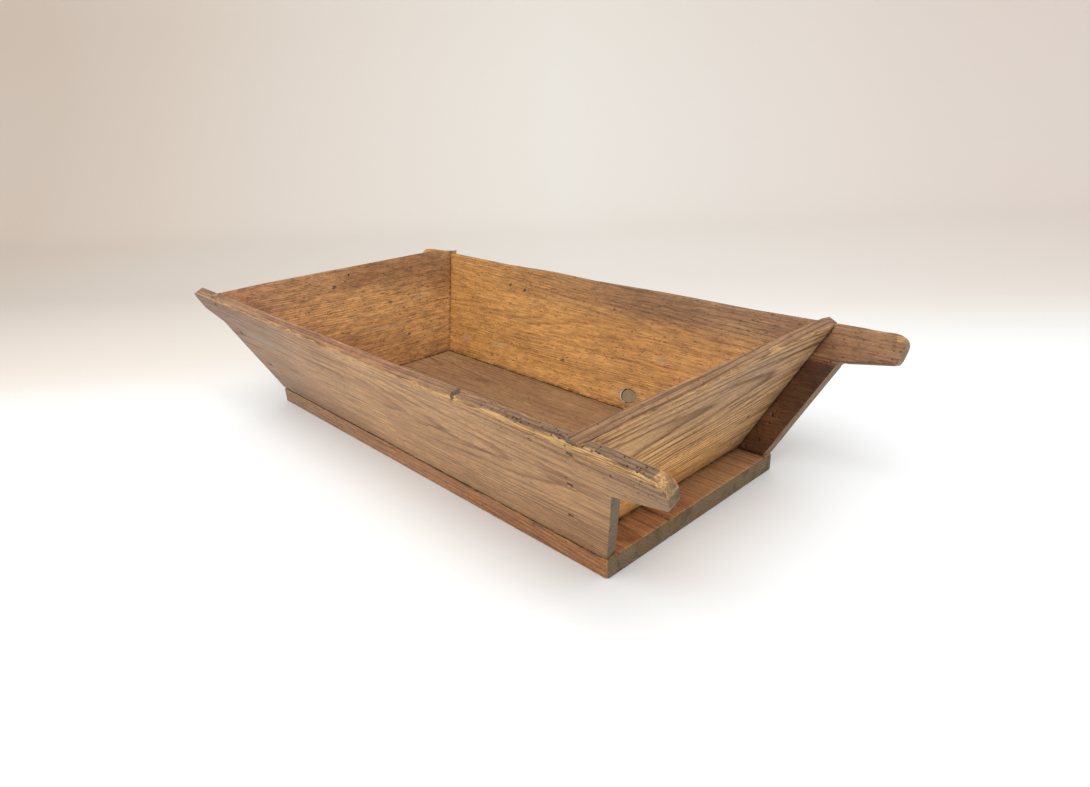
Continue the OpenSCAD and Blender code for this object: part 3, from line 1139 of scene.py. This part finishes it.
WORM_FRONT = [
    ("top", 0.28, 0.51, 0.1, 0.3, 60), ("top", -0.5, 0.28, 0.1, 0.3, 12),
    ("outer", 0.25, 0.51, 0.172, 0.21, 40), ("outer", -0.45, 0.40, 0.03, 0.19, 26),
    ("inner", 0.39, 0.51, 0.15, 0.2, 8),
]
WORM_REAR = [
    ("inner", 0.40, 0.51, 0.15, 0.2, 9), ("inner", -0.38, 0.38, 0.03, 0.17, 30),
    ("outer", -0.45, 0.45, 0.05, 0.18, 20), ("top", -0.5, 0.5, 0.1, 0.3, 16),
]
WORM_LEFT = [("inner", -0.2, 0.2, 0.04, 0.19, 14), ("outer", -0.2, 0.2, 0.04, 0.19, 10)]
WORM_RIGHT = [
    ("outer", -0.22, 0.22, 0.05, 0.19, 14), ("inner", -0.2, 0.2, 0.04, 0.19, 8),
    ("top", -0.22, 0.22, 0.1, 0.3, 12),
]
WORM_PLANK = [("inner", -0.3, 0.37, 0.0, 0.1, 12), ("foot", -0.37, 0.37, 0.0, 0.1, 12)]

# By kind and side (1 outer, -1 inner, 0 both): place along and across the board and half sizes, in mm
MARKS = {
    "front_side_board": {
        ("knot", 0): [(229, 101, 5, 7)],
        ("dark", 1): [(230, -52, 6, 0.8), (-155, -26, 5, 0.8), (433, 43, 4, 1.6)],
        ("pale", 1): [(-44, 56, 5, 1.6)],
        ("grey", 1): [(-300, 40, 60, 14)],
    },
    "rear_side_board": {
        ("knot", 0): [(-162, 52, 3.2, 3), (-203, 56, 3.5, 3)],
        ("pale", -1): [
            (-132, 21, 7, 2.2), (-147, -4, 6, 2.5), (-190, -57, 16, 5), (198, 26.5, 24, 0.9),
            (142, -31, 10, 0.8),
        ],
        ("grey", -1): [(-283, -64, 10, 6), (165, -8, 12, 5), (128, -72, 24, 7)],
        ("pale", 0): [(495, 91, 10, 4)],
        ("dark", -1): [(-27, -51, 5, 2)],
    },
    "left_end_board": {
        ("knot", 0): [(-40, 69, 4, 3), (75, -48, 3, 2.5)],
        ("pale", -1): [(-28, 9, 11, 1.8), (-104, 7, 8, 3)],
        ("grey", -1): [(18, -24, 38, 2), (120, 15, 26, 3)],
        ("dark", -1): [(60, 20, 5, 1.5)],
    },
    "right_end_board": {
        ("pale", 1): [(-71, 94, 32, 2.2), (86, 100, 10, 2.4), (0, 97, 14, 1.6), (-160, 93, 14, 2)],
        ("knot", 0): [(120, -20, 4, 3)],
        ("dark", 1): [(60, 30, 26, 1.2)],
    },
    "bottom_plank_front": {
        ("pale", 0): [(150, 10, 5, 1.0)],
        ("dark", 0): [(-100, -20, 14, 1.0)],
    },
    "bottom_plank_rear": {
        ("dark", -1): [(-200, 40, 10, 1.2)],
    },
}

FRONT_DROPS = [
    (-0.50, 1.5 * MM), (-0.44, 0.5 * MM), (-0.1, 0.3 * MM), (0.08, 2 * MM), (0.3, 1 * MM),
    (0.44, 1.5 * MM), (0.51, 6 * MM),
]
REAR_DROPS = [
    (-0.49, 4 * MM), (-0.46, 1 * MM), (-0.42, 0), (-0.38, 2 * MM), (-0.22, 4 * MM), (-0.1, 2 * MM),
    (0, 4 * MM), (0.15, 2 * MM), (0.3, 3 * MM), (0.4, 1 * MM), (0.51, 0),
]
LEFT_DROPS = [
    (-0.25, 3 * MM), (-0.15, 0.5 * MM), (0.19, 0.5 * MM), (0.215, 4 * MM), (0.24, 8 * MM),
]
RIGHT_DROPS = [(-0.25, 1 * MM), (0.15, 0.3 * MM), (0.225, 2 * MM), (0.25, 6 * MM)]

ALONG_X, ALONG_Y, DOWN = (1, 0, 0), (0, 1, 0), (0, 0, -1)

PLANK = dict(
    grain=ALONG_X, outward=DOWN, wear=plank_wear, bare=all_bare, drops=None,
    pits=WORM_PLANK, tones=PLANK_TONES, shade=plank_shade, ring=0.6, streaks=0.5,
    mottle=0.8, worn=0.10, flecks=0.5, steady=0.15,
)

BOARDS = [
    dict(
        node="front_side_board", slot="pine_front_side", grain=ALONG_X, outward=FRONT_OUT,
        wear=front_wear, bare=front_bare, drops=FRONT_DROPS, pits=WORM_FRONT,
        tones=FRONT_TONES, shade=front_shade, pith=(0.03, -0.09), spacing=3.4 * MM,
        ring=0.70, streaks=0.60, mottle=0.85, worn=0.40, flecks=0.45, steady=0.15,
    ),
    dict(
        node="rear_side_board", slot="pine_rear_side", grain=ALONG_X, outward=REAR_OUT,
        wear=rear_wear, bare=rear_bare, drops=REAR_DROPS, pits=WORM_REAR,
        tones=REAR_TONES, shade=rear_shade, pith=(0.02, 0.07), spacing=2.6 * MM,
        ring=0.50, streaks=0.45, mottle=1.0, worn=0.15, flecks=0.8, steady=0.15,
    ),
    dict(
        node="left_end_board", slot="pine_left_end", grain=ALONG_Y, outward=LEFT_OUT,
        wear=end_wear, bare=left_bare, drops=LEFT_DROPS, pits=WORM_LEFT,
        tones=LEFT_TONES, shade=left_shade, pith=(-0.04, -0.06), spacing=2.8 * MM,
        ring=0.40, streaks=0.40, mottle=1.5, worn=0.15, flecks=0.8, steady=0.15,
    ),
    dict(
        node="right_end_board", slot="pine_right_end", grain=ALONG_Y, outward=RIGHT_OUT,
        wear=end_wear, bare=all_bare, drops=RIGHT_DROPS, pits=WORM_RIGHT,
        tones=RIGHT_TONES, shade=right_shade, pith=(0.05, -0.05), spacing=4.4 * MM,
        ring=1.0, streaks=0.90, mottle=0.9, worn=0.42, flecks=0.6, steady=0.65,
    ),
    PLANK | dict(
        node="bottom_plank_front", slot="pine_front_plank", pith=(0.01, 0.05), spacing=4.0 * MM,
    ),
    PLANK | dict(
        node="bottom_plank_rear", slot="pine_rear_plank", pith=(-0.03, 0.06), spacing=3.6 * MM,
    ),
]

KNOT = dict(
    node="loose_knot", slot="dead_knot", wear=knot_wear, bare=no_bare, drops=None,
    pits=[], tones=KNOT_TONES, shade=no_shade, pith=(0.0, 0.0), spacing=1.5 * MM,
    ring=0.4, streaks=0.4, mottle=2.0, worn=0.0, flecks=1.0, steady=0.15,
)


def make_boards():
    made = []
    for spec in BOARDS:
        board = Board(spec["node"], spec["grain"], spec["outward"])
        if not spec["node"].startswith("bottom"):
            note_planes(spec["node"], board)
        made.append((spec, board))
    for seed, (spec, board) in enumerate(made):
        looks = Wood(spec, seed + 1).material
        piece = board.build(spec, looks, grime_and_shade_for(spec["node"], board), seed + 1)


def make_knot():
    caps = sorted(cad_faces("loose_knot")[1], key=lambda f: -f["area"])[:2]
    axis = caps[0]["middle"] - caps[1]["middle"]
    axis /= np.linalg.norm(axis)
    side = np.cross(axis, (1.0, 0.0, 0.0))
    knot = Board("loose_knot", axis, side / np.linalg.norm(side))

    def grime_and_shade(points, normal):
        # Full dark mask on the knot's sides: painted shade in the gap around it.
        return np.full(len(points), 0.1 if abs(normal @ axis) > 0.7 else 1.0)

    piece = knot.build(KNOT, Wood(KNOT, 9).material, grime_and_shade, 9)
    rot_away(piece, [Vector(cap["middle"]) for cap in caps], Vector(axis))


def make_nails():
    looks = iron()
    for name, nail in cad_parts.items():
        if "nails" in name:
            nail.data.materials.clear()
            nail.data.materials.append(looks)


def rot_away(piece, caps, axis):
    """One side of the knot has rotted back and left a crescent in its hole, dark with painted shade on
    its walls.
    """
    thickness = (caps[0] - caps[1]).length
    for vertex in piece.data.vertices:
        away = vertex.co - caps[0]
        depth = -away.dot(axis)
        away += axis * depth
        if away.x < 0:
            sink = SINK * min(1.0, max(0.0, -away.x / MM - 2) / 5)
            if depth < CAP_DEPTH:
                vertex.co -= axis * sink
            elif depth > thickness - CAP_DEPTH:
                vertex.co += axis * sink
            vertex.co.x -= LOST * away.x * min(1.0, -away.x / (6 * MM))
        else:
            vertex.co += away * SWOLLEN


make_camera()
make_stage()
make_lights()
make_boards()
make_knot()
make_nails()
